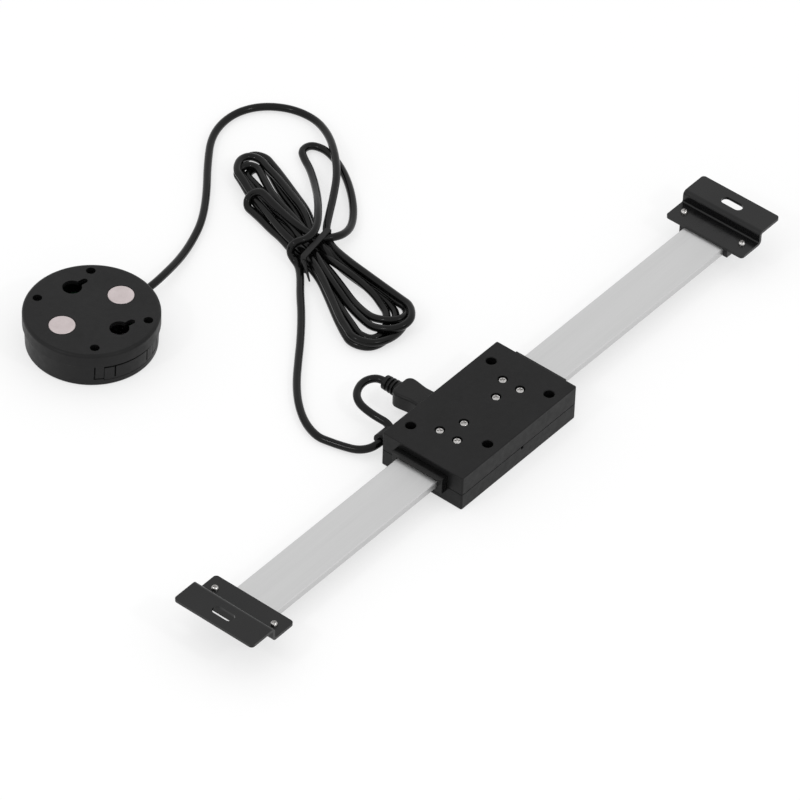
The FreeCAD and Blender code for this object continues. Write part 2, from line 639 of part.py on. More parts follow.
def plug_body():
    """Overmould with drawn-in sides, and a ribbed, tapering strain relief at its back."""
    half_mouth = PLUG_MOUTH / 2
    half_waist = PLUG_WAIST / 2
    half = PLUG_WIDTH / 2
    waist_y = PLUG_FRONT + PLUG_LENGTH * PLUG_WAIST_SHARE
    shoulder_y = PLUG_FRONT + PLUG_LENGTH * PLUG_SHOULDER_SHARE
    z0 = PLUG_Z - PLUG_THICKNESS / 2

    def at(x, y):
        return V(PLUG_X + x, y, z0)

    def side(sign):
        """One side, from the mouth in to the waist, out to the shoulder and straight to the back."""
        flank = Part.BSplineCurve()
        flank.interpolate([at(sign * half_mouth, PLUG_FRONT), at(sign * half_waist, waist_y),
                           at(sign * half, shoulder_y), at(sign * half, PLUG_BACK)],
                          InitialTangent=V(0, 1, 0), FinalTangent=V(0, 1, 0))
        return flank.toShape()

    mouth = Part.LineSegment(at(-half_mouth, PLUG_FRONT), at(half_mouth, PLUG_FRONT)).toShape()
    back = Part.LineSegment(at(half, PLUG_BACK), at(-half, PLUG_BACK)).toShape()
    wire = Part.Wire(Part.__sortEdges__([mouth, side(1), back, side(-1)]))
    body = Part.Face(wire).extrude(V(0, 0, PLUG_THICKNESS))
    body = body.makeFillet(PLUG_CORNER, [e for e in upright_edges(body) if e.BoundBox.YMin > shoulder_y])
    rims = [e for e in edges_at(body, z0) + edges_at(body, z0 + PLUG_THICKNESS)
            if e.BoundBox.YMax > PLUG_FRONT + TINY]
    body = body.makeFillet(PLUG_ROUND, rims)
    pitch = RELIEF_LENGTH / (RELIEF_GROOVES + 1)
    profile = [(0, -MERGE), (RELIEF_ROOT / 2, -MERGE), (RELIEF_ROOT / 2, 0)]
    for i in range(RELIEF_GROOVES):
        middle = pitch * (i + RELIEF_GROOVE_START)
        radius = (RELIEF_ROOT + (RELIEF_TIP - RELIEF_ROOT) * middle / RELIEF_LENGTH) / 2
        neck = radius - RELIEF_GROOVE_DEPTH
        half_groove = RELIEF_GROOVE_WIDTH / 2
        flat = half_groove * RELIEF_GROOVE_FLOOR
        profile += [(radius, middle - half_groove), (neck, middle - flat),
                    (neck, middle + flat), (radius, middle + half_groove)]
    profile += [(RELIEF_TIP / 2, RELIEF_LENGTH), (0, RELIEF_LENGTH)]
    relief = spin(profile)
    relief.rotate(V(0, 0, 0), V(1, 0, 0), -90)
    relief.translate(V(PLUG_X, PLUG_BACK, PLUG_Z))
    return together([body, relief])


def plug_shell():
    """The plug's metal shell, inside the socket."""
    width = SOCKET_WIDTH / 2 - SOCKET_WALL - SHELL_FIT
    height = SOCKET_HEIGHT / 2 - SOCKET_WALL - SHELL_FIT
    tip = SOCKET_BACK + SOCKET_WALL + SHELL_END_GAP
    shell = box(PLUG_X - width, PLUG_X + width, tip, PLUG_FRONT, PLUG_Z - height, PLUG_Z + height)
    hollow = box(PLUG_X - width + SHELL_WALL, PLUG_X + width - SHELL_WALL,
                 tip - THROUGH, PLUG_FRONT - SHELL_WALL,
                 PLUG_Z - height + SHELL_WALL, PLUG_Z + height - SHELL_WALL)
    return shell.cut(hollow)


# Display. Drawn about its own axis with the cord's exit on +X and the battery tray on -Y.

def placed(shape):
    """Turns and moves a piece of the display to where it lies."""
    shape.rotate(V(0, 0, 0), UP, DISPLAY_TURN)
    shape.translate(V(DISPLAY_X, DISPLAY_Y, 0))
    return shape


def cover_screw_places():
    """Four places, in two pairs about the line of the keyholes."""
    places = []
    for axis in (90, 270):
        for side in (-1, 1):
            angle = math.radians(axis + side * COVER_SCREW_SPREAD)
            places.append((COVER_SCREW_X + COVER_SCREW_RADIUS * math.cos(angle),
                           COVER_SCREW_RADIUS * math.sin(angle)))
    return places


def keyhole(y, z0, z1):
    """A round hole with a narrow slot towards the cord's exit."""
    narrow = KEYHOLE_SLOT / 2
    slot = box(KEYHOLE_X, KEYHOLE_X + KEYHOLE_REACH, y - narrow, y + narrow, z0, z1)
    return together([rod(KEYHOLE_DIAMETER, z0, z1, KEYHOLE_X, y), slot,
                     rod(KEYHOLE_SLOT, z0, z1, KEYHOLE_X + KEYHOLE_REACH, y)])


def display_back_cover():
    """A shallow cap with a rounded rim, screw wells, magnet seats and keyholes."""
    cup = rod(2 * DISPLAY_RADIUS, COVER_BASE, DISPLAY_HEIGHT, 0, 0)
    cup = cup.makeFillet(COVER_ROUND, edges_at(cup, DISPLAY_HEIGHT))
    cup = cup.makeChamfer(COVER_LIP, edges_at(cup, COVER_BASE))
    cup = cup.cut(rod(2 * (DISPLAY_RADIUS - COVER_WALL), COVER_BASE - THROUGH, COVER_UNDER, 0, 0))
    well = COVER_SCREW_HOLE + 2 * COVER_BOSS_WALL
    well_floor = DISPLAY_HEIGHT - COVER_SCREW_DEPTH - COVER_SCREW_RISE
    seat_floor = DISPLAY_HEIGHT - MAGNET_SINK - MAGNET_THICKNESS
    root = COVER_UNDER + MERGE
    bosses = [rod(well, well_floor - COVER_BOSS_FLOOR, root, x, y) for x, y in cover_screw_places()]
    bosses += [rod(MAGNET_DIAMETER + 2 * MAGNET_SEAT, seat_floor - MAGNET_SEAT, root, s * MAGNET_X, 0)
               for s in (-1, 1)]
    cover = together([cup] + bosses)
    cutters = [keyhole(s * KEYHOLE_Y, COVER_BASE - THROUGH, DISPLAY_HEIGHT + THROUGH) for s in (-1, 1)]
    pocket = MAGNET_DIAMETER + 2 * MAGNET_POCKET_GAP
    cutters += [rod(pocket, seat_floor, DISPLAY_HEIGHT + THROUGH, s * MAGNET_X, 0) for s in (-1, 1)]
    for x, y in cover_screw_places():
        cutters.append(rod(COVER_SCREW_HOLE, well_floor, DISPLAY_HEIGHT + THROUGH, x, y))
        cutters.append(rod(COVER_SHANK + 2 * SCREW_HOLE_GAP, COVER_BASE - THROUGH, DISPLAY_HEIGHT, x, y))
    return placed(cover.cut(cutters))


def display_screws():
    """Four screws at the bottom of the cover's wells."""
    seat = DISPLAY_HEIGHT - COVER_SCREW_DEPTH - COVER_SCREW_RISE
    return placed(group([pan_screw(COVER_SCREW_HEAD, COVER_SCREW_RISE, COVER_SHANK, COVER_SHANK_LENGTH,
                                   x, y, seat) for x, y in cover_screw_places()]))


def display_magnets():
    """Two disc magnets let into the cover."""
    top = DISPLAY_HEIGHT - MAGNET_SINK
    discs = []
    for sign in (-1, 1):
        disc = rod(MAGNET_DIAMETER, top - MAGNET_THICKNESS, top, sign * MAGNET_X, 0)
        discs.append(disc.makeChamfer(MAGNET_POCKET_GAP, edges_at(disc, top)))
    return placed(group(discs))


def button_places():
    """A row of buttons across the face, below the window."""
    first = -BUTTON_PITCH * (BUTTON_COUNT - 1) / 2
    return [(BUTTON_X, first + i * BUTTON_PITCH) for i in range(BUTTON_COUNT)]


def tray_room():
    """The space that the battery tray slides in, open through the rim."""
    half = TRAY_WIDTH / 2 + TRAY_GAP
    depth = CELL_DIAMETER / 2 + TRAY_RING_WALL + 2 * TRAY_GAP
    face = box(-half, half, -2 * DISPLAY_RADIUS, TRAY_THROAT - FRONT_RADIUS,
               TRAY_BASE - TRAY_GAP, FRONT_TOP + THROUGH)
    return face.fuse(box(-half, half, -2 * DISPLAY_RADIUS, depth - tray_centre(),
                         TRAY_SEAT - TRAY_FLOOR - TRAY_GAP, FRONT_TOP + THROUGH))


def tray_centre():
    """How far the middle of the coin cell lies from the display's axis, towards the tray's face."""
    return FRONT_RADIUS - TRAY_FACE - TRAY_NECK - TRAY_RING_WALL - CELL_DIAMETER / 2


def latch_grooves():
    """Grooves down and under a latch tab, at each side of the tray's opening."""
    foot = FRONT_TOP - LATCH_HEIGHT
    rim = rod(2 * (FRONT_RADIUS + THROUGH), foot, FRONT_TOP + THROUGH, 0, 0)
    rim = rim.cut(rod(2 * (FRONT_RADIUS - LATCH_DEPTH), 0, DISPLAY_HEIGHT, 0, 0))
    start = TRAY_WIDTH / 2
    end = start + TRAY_GAP + LATCH_WIDTH
    outer = box(start, end, -2 * DISPLAY_RADIUS, 0, 0, DISPLAY_HEIGHT)
    tab = box(start, end - LATCH_GROOVE, -2 * DISPLAY_RADIUS, 0, foot + LATCH_GROOVE, DISPLAY_HEIGHT)
    groove = rim.common(outer.cut(tab))
    return [groove, mirrored(groove, -1)]


def display_front_case():
    """The cup with the face plate: openings for window and buttons, a slot for the tray, pillars."""
    cup = spin([(0, 0), (FRONT_FOOT_RADIUS, 0), (FRONT_RADIUS, FRONT_TOP), (0, FRONT_TOP)])
    cup = cup.makeFillet(FRONT_ROUND, edges_at(cup, 0))
    cup = cup.cut(rod(2 * (FRONT_FOOT_RADIUS - FRONT_WALL), FRONT_PLATE, FRONT_TOP + THROUGH, 0, 0))
    foot = DISPLAY_HEIGHT - COVER_SCREW_DEPTH - COVER_SCREW_RISE - COVER_BOSS_FLOOR
    pillars = [rod(PILLAR_DIAMETER, FRONT_PLATE - MERGE, foot, x, y) for x, y in cover_screw_places()]
    case = together([cup] + pillars)
    inner = slab(WINDOW_HEIGHT - 2 * WINDOW_LEDGE, WINDOW_LENGTH - 2 * WINDOW_LEDGE, WINDOW_CORNER,
                 -THROUGH, FRONT_PLATE + THROUGH, WINDOW_X)
    rebate = slab(WINDOW_HEIGHT, WINDOW_LENGTH, WINDOW_CORNER, WINDOW_SINK, FRONT_PLATE + THROUGH, WINDOW_X)
    cutters = [inner, rebate, tray_room()]
    hole = BUTTON_DIAMETER + 2 * BUTTON_GAP
    cutters += [rod(hole, -THROUGH, FRONT_PLATE + THROUGH, x, y) for x, y in button_places()]
    cutters += [rod(COVER_SHANK + 2 * SCREW_HOLE_GAP, foot - COVER_SHANK_LENGTH, foot + THROUGH, x, y)
                for x, y in cover_screw_places()]
    gland = Part.makeCylinder(GLAND_ROOT / 2, 3 * FRONT_WALL + THROUGH,
                              V(FRONT_FOOT_RADIUS - 2 * FRONT_WALL, 0, GLAND_Z), V(1, 0, 0))
    gland.rotate(V(0, 0, 0), UP, GLAND_ANGLE)
    return placed(case.cut(cutters + [gland] + latch_grooves()))


def display_window():
    """The clear pane in the face."""
    return placed(slab(WINDOW_HEIGHT - 2 * WINDOW_FIT, WINDOW_LENGTH - 2 * WINDOW_FIT, WINDOW_CORNER,
                       WINDOW_SINK, WINDOW_SINK + WINDOW_THICKNESS, WINDOW_X))


def crystal_panel():
    """The liquid-crystal panel behind the pane."""
    base = WINDOW_SINK + WINDOW_THICKNESS + PANEL_GAP
    reach_x = WINDOW_HEIGHT / 2 - PANEL_MARGIN / 2
    reach_y = WINDOW_LENGTH / 2 - PANEL_MARGIN
    top = base + PANEL_THICKNESS
    return placed(box(WINDOW_X - reach_x, WINDOW_X + reach_x, -reach_y, reach_y, base, top))


def display_board():
    """Round circuit board on the panel, cut away at the pillars, with a switch for each button."""
    radius = FRONT_FOOT_RADIUS - FRONT_WALL - DISPLAY_BOARD_GAP
    board = rod(2 * radius, DISPLAY_BOARD_Z, DISPLAY_BOARD_TOP, 0, 0)
    clear = PILLAR_DIAMETER + 2 * DISPLAY_BOARD_GAP
    board = board.cut([rod(clear, 0, DISPLAY_HEIGHT, x, y) for x, y in cover_screw_places()])
    half = SWITCH_SIZE / 2
    foot = DISPLAY_BOARD_Z - SWITCH_HEIGHT
    switches = [box(x - half, x + half, y - half, y + half, foot, DISPLAY_BOARD_Z + MERGE)
                for x, y in button_places()]
    panel_top = WINDOW_SINK + WINDOW_THICKNESS + PANEL_GAP + PANEL_THICKNESS
    spacer = box(WINDOW_X - WINDOW_HEIGHT / 2 + PANEL_MARGIN, WINDOW_X + WINDOW_HEIGHT / 2 - PANEL_MARGIN,
                 -WINDOW_LENGTH / 2 + 2 * PANEL_MARGIN, WINDOW_LENGTH / 2 - 2 * PANEL_MARGIN,
                 panel_top, DISPLAY_BOARD_Z + MERGE)
    return placed(together([board, spacer] + switches))


def button(index):
    """A round cap with a dished face, a collar behind the face plate and a stem to its switch."""
    x, y = button_places()[index]
    switch_z = DISPLAY_BOARD_Z - SWITCH_HEIGHT
    radius = BUTTON_DIAMETER / 2
    flange = radius + BUTTON_GAP + BUTTON_FLANGE_REACH
    seat = FRONT_PLATE + BUTTON_GAP / 2
    top = switch_z - BUTTON_TRAVEL - BUTTON_GAP / 2
    cap = spin([(0, BUTTON_SINK + BUTTON_DISH), (radius * BUTTON_DISH_REACH, BUTTON_SINK + BUTTON_DISH / 2),
                (radius * BUTTON_RIM_REACH, BUTTON_SINK), (radius, BUTTON_SINK + BUTTON_DISH),
                (radius, seat), (flange, seat), (flange, seat + BUTTON_FLANGE),
                (BUTTON_STEM / 2, seat + BUTTON_FLANGE),
                (BUTTON_STEM / 2, top), (0, top)])
    cap.translate(V(x, y, 0))
    return placed(cap)


def battery_tray():
    """A drawer for the coin cell: a face that follows the rim, a ring and two spring arms."""
    half = TRAY_WIDTH / 2
    centre = -tray_centre()
    floor = TRAY_SEAT - TRAY_FLOOR
    top = FRONT_TOP - TRAY_HEAD_GAP
    rim = spin([(0, 0), (FRONT_FOOT_RADIUS, 0), (FRONT_RADIUS, FRONT_TOP), (0, FRONT_TOP)])
    rim = rim.cut(rod(2 * (FRONT_RADIUS - TRAY_FACE), 0, DISPLAY_HEIGHT, 0, 0))
    face = rim.common(box(-half, half, -2 * DISPLAY_RADIUS, 0, TRAY_BASE, top))
    ring = rod(CELL_DIAMETER + 2 * CELL_GAP + 2 * TRAY_RING_WALL, floor, top, 0, centre)
    bridge = box(-TRAY_SLIT_X, TRAY_SLIT_X, -FRONT_RADIUS + TRAY_FACE / 2, centre, floor, top)
    bridge = bridge.common(rod(2 * (FRONT_RADIUS - TRAY_FACE / 2), 0, DISPLAY_HEIGHT, 0, 0))
    body = ring.fuse(bridge).cut(rod(CELL_DIAMETER + 2 * CELL_GAP, TRAY_SEAT, DISPLAY_HEIGHT, 0, centre))
    arms = []
    for sign in (-1, 1):
        x0 = min(sign * (half - TRAY_ARM), sign * half)
        arm = box(x0, x0 + TRAY_ARM, -FRONT_RADIUS, centre + TRAY_ARM, floor, top)
        arm = arm.common(rod(2 * (FRONT_RADIUS - TRAY_FACE / 2), 0, DISPLAY_HEIGHT, 0, 0))
        x1 = min(sign * half, sign * (CELL_DIAMETER / 2))
        root = box(x1, x1 + half - CELL_DIAMETER / 2, centre - TRAY_ARM, centre + TRAY_ARM, floor, top)
        arms += [arm, root.cut(rod(CELL_DIAMETER + 2 * CELL_GAP, TRAY_SEAT, DISPLAY_HEIGHT, 0, centre))]
    tray = together([face, body] + arms)
    slits = [box(s * TRAY_SLIT_X - TRAY_SLIT / 2, s * TRAY_SLIT_X + TRAY_SLIT / 2, -2 * DISPLAY_RADIUS,
                 TRAY_SLIT_DEPTH - FRONT_RADIUS, TRAY_BASE + TRAY_SLIT_FOOT, DISPLAY_HEIGHT)
             for s in (-1, 1)]
    return placed(tray.cut(slits))


def coin_cell():
    """The coin cell in its tray, with a stepped rim."""
    foot = TRAY_SEAT
    cell = rod(CELL_DIAMETER, foot, foot + CELL_THICKNESS, 0, -tray_centre())
    cell = cell.makeChamfer(CELL_GAP, edges_at(cell, foot + CELL_THICKNESS))
    return placed(cell)


def cord_gland():
    """The tapered, ringed sleeve that the cord leaves the display through."""
    root = GLAND_ROOT / 2
    tip = GLAND_TIP / 2
    inside = FRONT_WALL + DISPLAY_BOARD_GAP
    profile = [(0, -inside), (root, -inside), (root, 0)]
    pitch = GLAND_REACH / (GLAND_RINGS + 1)
    for i in range(GLAND_RINGS):
        middle = pitch * (i + GLAND_RING_START)
        radius = root + (tip - root) * middle / GLAND_REACH
        side = pitch * GLAND_RING_WIDTH / 2
        profile += [(radius, middle - side), (radius * GLAND_RING_NECK, middle), (radius, middle + side)]
    profile += [(tip, GLAND_REACH), (0, GLAND_REACH)]
    sleeve = spin(profile)
    sleeve.rotate(V(0, 0, 0), V(0, 1, 0), 90)
    sleeve.translate(V(FRONT_RADIUS, 0, GLAND_Z))
    sleeve.rotate(V(0, 0, 0), UP, GLAND_ANGLE)
    return placed(sleeve)


# Cord

def gland_point(reach):
    """A point on the gland's axis, a distance from the display's axis."""
    angle = math.radians(DISPLAY_TURN + GLAND_ANGLE)
    return (DISPLAY_X + reach * math.cos(angle), DISPLAY_Y + reach * math.sin(angle), GLAND_Z)


def display_lead_points():
    """From the display's gland down to the table, round the wide arc, over the loop, to the hank's waist."""
    floor = FLOOR_LINE
    lift = floor + CORD_DIAMETER
    return [gland_point(GLAND_END), gland_point(GLAND_END + LEAD_STRAIGHT), (-11, 157.5, floor + 3.3),
            (1.5, 160.6, floor + 1.1), (13.5, 164.6, floor), (26.5, 170.1, floor), (40.5, 179.7, floor),
            (56, 192.6, floor), (71, 203.4, floor), (86, 206.2, floor), (98.5, 201.5, floor),
            (106.6, 190.6, floor), (108, 177.4, floor + 0.5), (102.4, 165.2, lift - 1.2),
            (93.4, 154.2, lift + 0.7), (83.4, 144.4, lift + 1.2), (72, 136.8, lift + 1.5),
            (60.8, 130.2, lift + 1.6), (52.4, 126.2, lift + 1.7)]


def side_loop_points():
    """One loop that lies beside the hank, out of the top of its waist and back into its side."""
    floor = FLOOR_LINE
    top = HANK_HEIGHT + CORD_RADIUS
    return [(48.2, 126.2, top - FLOOR_GAP), (55.4, 131.2, top - 0.6), (62, 137, top - 2.2),
            (68.8, 143.4, floor + 3.7), (75.6, 150.6, floor + 1.7), (81.6, 158.4, floor + 0.3),
            (85.6, 164.6, floor), (88.8, 169.2, floor), (93.6, 169.5, floor), (96.4, 164.8, floor),
            (96, 157.8, floor), (92.8, 150.2, floor), (87.4, 141.8, floor), (80.8, 133.8, floor),
            (73, 126.2, floor), (64.6, 120.4, floor + 0.4), (56.6, 117.8, floor + 1.6),
            (49.6, 118.8, floor + 3)]


def head_lead_points():
    """From the plug round a small loop to the clip, down to the table and on to the hank's waist."""
    floor = FLOOR_LINE
    half = CLIP_LENGTH / 2

    def by_plug(x, y, z):
        return (PLUG_X + x, RELIEF_END + y, PLUG_Z + z)

    def by_clip(x, y, z):
        return (CLIP_X + x, CLIP_CORD_Y + y, CLIP_CORD_Z + z)

    return [by_plug(0, 0, 0), by_plug(0, 2.8, 0), by_plug(-1.8, 5.4, -0.1), by_plug(-5.3, 6.9, -0.2),
            by_plug(-9.7, 6.3, -0.4), by_plug(-13.6, 4, -0.7), by_plug(-16.1, 0.2, -1),
            by_clip(6, 14.6, 1.9), by_clip(6, 9.4, 1.4), by_clip(6.7, 4.4, 0.8), by_clip(half + 1.2, 0, 0),
            by_clip(-half - 0.8, 0, 0), by_clip(-7.8, 1.7, -1.4), by_clip(-10.8, 5.8, -2.6),
            (-40.4, 37, floor + 0.1),
            (-41.9, 43.2, floor), (-42.6, 50.4, floor), (-39.9, 58.6, floor), (-33.6, 67.2, floor),
            (-24, 76.6, floor), (-11.5, 85.4, floor), (1.5, 95.2, floor), (13.2, 104.6, floor),
            (22.4, 113.4, floor), (27, 118.6, floor), (30.2, 123, floor + 0.5), (32, 126.8, floor + 1.6)]


def tube(name, points, diameter):
    """A round tube along straight runs with tangent arcs, each as large as its two runs allow."""
    knots = [V(*p) for p in points]
    edges = []
    radii = []
    start = knots[0]
    for before, corner, after in zip(knots, knots[1:], knots[2:]):
        back = before.sub(corner)
        ahead = after.sub(corner)
        trim = ARC_SHARE * min(back.Length, ahead.Length)
        turn = math.pi - back.getAngle(ahead)
        radii.append(trim / math.tan(turn / 2))
        back.normalize()
        ahead.normalize()
        enter = corner.add(back * trim)
        leave = corner.add(ahead * trim)
        inward = back.add(ahead)
        inward.normalize()
        depth = radii[-1] / math.cos(turn / 2) - radii[-1]
        edges.append(Part.LineSegment(start, enter).toShape())
        edges.append(Part.Arc(enter, corner.add(inward * depth), leave).toShape())
        start = leave
    edges.append(Part.LineSegment(start, knots[-1]).toShape())
    path = Part.Wire(edges)
    circle = Part.Circle(knots[0], knots[1].sub(knots[0]), diameter / 2)
    solid = path.makePipeShell([Part.Wire([circle.toShape()])], True, False)
    exact = math.pi * diameter ** 2 / 4 * path.Length
    print(f"{name}: length {path.Length:.1f}, volume over section times length {solid.Volume / exact:.4f}, "
          f"radii {min(radii):.1f} to {max(radii):.1f}: {' '.join(f'{r:.1f}' for r in radii)}")
    return solid


def hank_frame(shape):
    """Turns and moves a piece drawn along X about the hank's waist to where it lies."""
    shape.rotate(V(0, 0, 0), UP, HANK_TURN)
    shape.translate(V(HANK_WAIST_X, HANK_WAIST_Y, 0))
    return shape


def hank_block():
    """The outer form of the folded cord: a narrow waist and two spreading lobes, before the tie's groove."""
    side = HANK_WAIST_WIDTH / 2
    length = HANK_WAIST_LENGTH / 2
    upper = [(length, -side), (length, side), (36, 6), (40, 3), (55, -2), (61.5, -8), (62.5, -16),
             (58, -21.5), (48, -20.5), (10.5, -12.4)]
    lower = [(-length, side), (-length, -side), (-50, -10.8), (-58, -8.5), (-64, -1), (-66, 9), (-64, 19),
             (-58, 24), (-46, 22)]
    waist = box(-length - MERGE, length + MERGE, -side, side, 0, HANK_HEIGHT)
    lobes = []
    for points in (upper, lower):
        lobe = outline([(x, y, 0) for x, y in points]).extrude(V(0, 0, HANK_HEIGHT))
        rims = [e for e in edges_at(lobe, HANK_HEIGHT) if abs(abs(e.BoundBox.XMin) - length) > TINY
                or abs(abs(e.BoundBox.XMax) - length) > TINY]
        lobes.append(lobe.makeFillet(HANK_ROUND, rims))
    return together([waist] + lobes)


def tie_placed(shape):
    """Turns and moves a piece of the tie to where it crosses the waist, slantwise."""
    shape.rotate(V(0, 0, 0), UP, TIE_TURN)
    shape.translate(V(TIE_SHIFT, 0, 0))
    return shape


def tie_reach():
    """Half the length of the slanting band inside, so that it just spans the waist."""
    slant = math.radians(TIE_TURN)
    return HANK_WAIST_WIDTH / 2 / math.cos(slant) + TIE_WIDTH / 2 * math.tan(slant)


def tie_band():
    """The tie's band round the waist, closed under it."""
    side = tie_reach()
    half = TIE_WIDTH / 2
    band = box(-half, half, -side - TIE_THICKNESS, side + TIE_THICKNESS, 0, HANK_HEIGHT + TIE_THICKNESS)
    return tie_placed(band.cut(box(-half, half, -side, side, TIE_THICKNESS, HANK_HEIGHT)))


def cord_hank():
    """The hank, grooved under its waist where the tie passes."""
    return hank_frame(hank_block().cut(tie_band()))


def cable_tie():
    """The band with the twisted ends that stand off its side and droop to the table."""
    root = V(0, tie_reach() + TIE_THICKNESS / 2, TIE_TAIL_Z)
    droop = V(-1, TIE_TAIL_AHEAD, -TIE_TAIL_DROP)
    tail = tie_placed(Part.makeCone(TIE_TAIL_WIDTH / 2, TIE_TAIL_TIP / 2, TIE_TAIL, root, droop))
    return hank_frame(together([tie_band(), tail]))


PIECES = {
    "head_upper_case": head_upper_case(),
    "head_lower_case": head_lower_case(),
    "slide_guide_near": slide_guide(-1),
    "slide_guide_far": slide_guide(1),
    "guide_screws": guide_screws(),
    "sensor_board": sensor_board(),
    "plug_socket": plug_socket(),
    "cable_clip": cable_clip(),
    "plug_body": plug_body(),
    "plug_shell": plug_shell(),
    "beam": beam(),
    "scale_strip": scale_strip(),
    "bracket_near": bracket(NEAR_EDGE, -1),
    "bracket_far": bracket(FAR_EDGE, 1),
    "end_block_near": end_block(NEAR_EDGE, -1),
    "end_block_far": end_block(FAR_EDGE, 1),
    "bracket_screws": bracket_screws(),
    "display_back_cover": display_back_cover(),
    "display_front_case": display_front_case(),
    "display_screws": display_screws(),
    "display_magnets": display_magnets(),
    "display_window": display_window(),
    "crystal_panel": crystal_panel(),
    "display_board": display_board(),
    "battery_tray": battery_tray(),
    "coin_cell": coin_cell(),
    "cord_gland": cord_gland(),
    "cord_display_lead": tube("display lead", display_lead_points(), CORD_DIAMETER),
    "cord_side_loop": tube("side loop", side_loop_points(), CORD_DIAMETER),
    "cord_head_lead": tube("head lead", head_lead_points(), CORD_DIAMETER),
    "cord_hank": cord_hank(),
    "cable_tie": cable_tie(),
}
for number in range(BUTTON_COUNT):
    PIECES[f"button_{number + 1}"] = button(number)

os.makedirs("parts", exist_ok=True)
for node, shape in PIECES.items():
    shape.exportStep(f"parts/{node}.step")
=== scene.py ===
"""Looks of the digital linear scale: finishes, the folded cord, floor, light and camera."""
import math
from collections import namedtuple

import bpy
from mathutils import Matrix, Vector


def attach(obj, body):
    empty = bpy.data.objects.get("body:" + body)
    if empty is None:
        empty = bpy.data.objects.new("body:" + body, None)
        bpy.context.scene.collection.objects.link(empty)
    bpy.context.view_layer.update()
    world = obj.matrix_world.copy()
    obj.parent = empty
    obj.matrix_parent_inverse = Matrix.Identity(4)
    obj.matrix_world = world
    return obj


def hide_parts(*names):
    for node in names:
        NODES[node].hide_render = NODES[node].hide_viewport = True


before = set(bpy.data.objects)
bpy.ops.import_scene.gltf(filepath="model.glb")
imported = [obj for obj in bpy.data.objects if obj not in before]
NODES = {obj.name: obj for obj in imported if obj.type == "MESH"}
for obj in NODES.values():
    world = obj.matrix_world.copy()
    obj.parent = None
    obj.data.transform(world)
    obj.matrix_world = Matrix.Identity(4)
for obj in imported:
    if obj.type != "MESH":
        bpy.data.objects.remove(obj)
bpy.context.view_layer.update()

# Millimetres to metres
MM = 0.001

# Camera: where the photograph was taken from, for a square picture; the eye is in metres
CAMERA_AZIMUTH = math.radians(-51.891)
CAMERA_ELEVATION = math.radians(42.45)
CAMERA_ROLL = math.radians(2.189)
CAMERA_EYE = Vector((-1.5494, -1.1743, 1.7984))
CAMERA_LENS = 295.85
CAMERA_SENSOR = 36.0

# Floor and surround, in metres; the glow is the share of plain white in the floor that is seen
FLOOR_SIZE = 8.0
FLOOR_DROP = 0.0002
FLOOR_COLOUR = (0.93, 0.93, 0.93, 1)
FLOOR_GLOW = 0.62
WHITE = (1, 1, 1, 1)
SKY_STRENGTH = 1.0

# Lamps, in metres: what they face, and the side that each stands on
LAMP_TARGET = Vector((0.0, 0.06, 0.0))
LAMP_SIDES = {"lamp_right": (0.0, -1.0), "lamp_left": (-0.971, 0.24)}
LAMP_DISTANCE = 1.6
LAMP_ELEVATION = math.radians(42.0)
LAMP_SIZE = 0.12
LAMP_WATTS = 2.0

# Height of the cord's middle where it lies on the table, in millimetres
LAID = 1.85

# Cord, in millimetres, with its length in metres
CORD_RADIUS = 1.7
GLAND_EXIT = (-26.4, 156.11, 6.0)
CORD_NODES = ("cord_display_lead", "cord_side_loop", "cord_head_lead", "cord_hank")

# Hank: its waist on the table and the direction of its upper lobe
HANK_X = 42.0
HANK_Y = 124.0
HANK_TURN = math.radians(79.0)

# Half the stretch that the tie holds, and how far in from its shoulders a loop's sides stop
TIE_HOLD = 4.0
SHOULDER = 1.4

# Points round a loop's end, and how many times further out they stand than the end that they pull
END_STEPS = 4
END_SWELL = 1.08

# A loop of the hank in the hank's own directions: along from the waist, across to the left, and height.
# It runs out along one strand to its first shoulder, round its end to the last, and back. Depth is how far
# the end reaches past the shoulders, lean tips it to the left, and lift raises its middle.
Loop = namedtuple("Loop", "out first last back depth lean lift", defaults=(0.0, 0.0))
LOWER_LOOPS = [
    Loop(out=[(-18.0, -5.9, 5.4), (-28.5, -6.5, 5.6), (-40.0, -7.2, 5.7)],
         first=(-50.5, -7.8, 5.8), last=(-50.0, 11.0, 3.2), depth=12.8, lift=2.0,
         back=[(-37.0, 9.2, 1.9), (-28.0, 8.0, 3.9), (-15.0, 5.2, 4.9)]),
    Loop(out=[(-15.0, -7.2, LAID), (-29.0, -9.1, LAID), (-40.0, -10.2, LAID)],
         first=(-50.0, -9.8, LAID), last=(-50.0, 20.4, 5.0), depth=14.4, lean=0.42,
         back=[(-43.5, 19.2, 5.1), (-29.6, 13.3, 5.1), (-15.0, 7.6, 5.2)]),
    Loop(out=[(-15.0, -5.0, 2.6), (-29.0, -6.4, 1.9), (-40.0, -7.8, 1.9)],
         first=(-48.0, -7.8, 2.3), last=(-46.0, 7.4, 3.0), depth=11.3, lift=2.9,
         back=[(-35.5, 6.1, LAID), (-26.0, 3.9, LAID), (-15.0, 1.6, LAID)]),
    Loop(out=[(-16.7, -1.2, 4.9), (-29.6, -2.2, 4.8), (-39.0, -2.3, 3.9)],
         first=(-45.5, -1.8, 2.3), last=(-48.0, 15.4, LAID), depth=12.3, lean=0.35,
         back=[(-37.0, 13.2, LAID), (-28.0, 10.0, LAID), (-15.0, 5.0, LAID)]),
    Loop(out=[(-15.0, -3.0, LAID), (-29.0, -3.9, LAID), (-40.0, -4.8, LAID)],
         first=(-47.5, -5.0, LAID), last=(-49.0, 21.0, LAID), depth=14.6, lean=0.35,
         back=[(-38.0, 17.3, LAID), (-27.0, 12.5, LAID), (-15.0, 7.7, LAID)]),
]
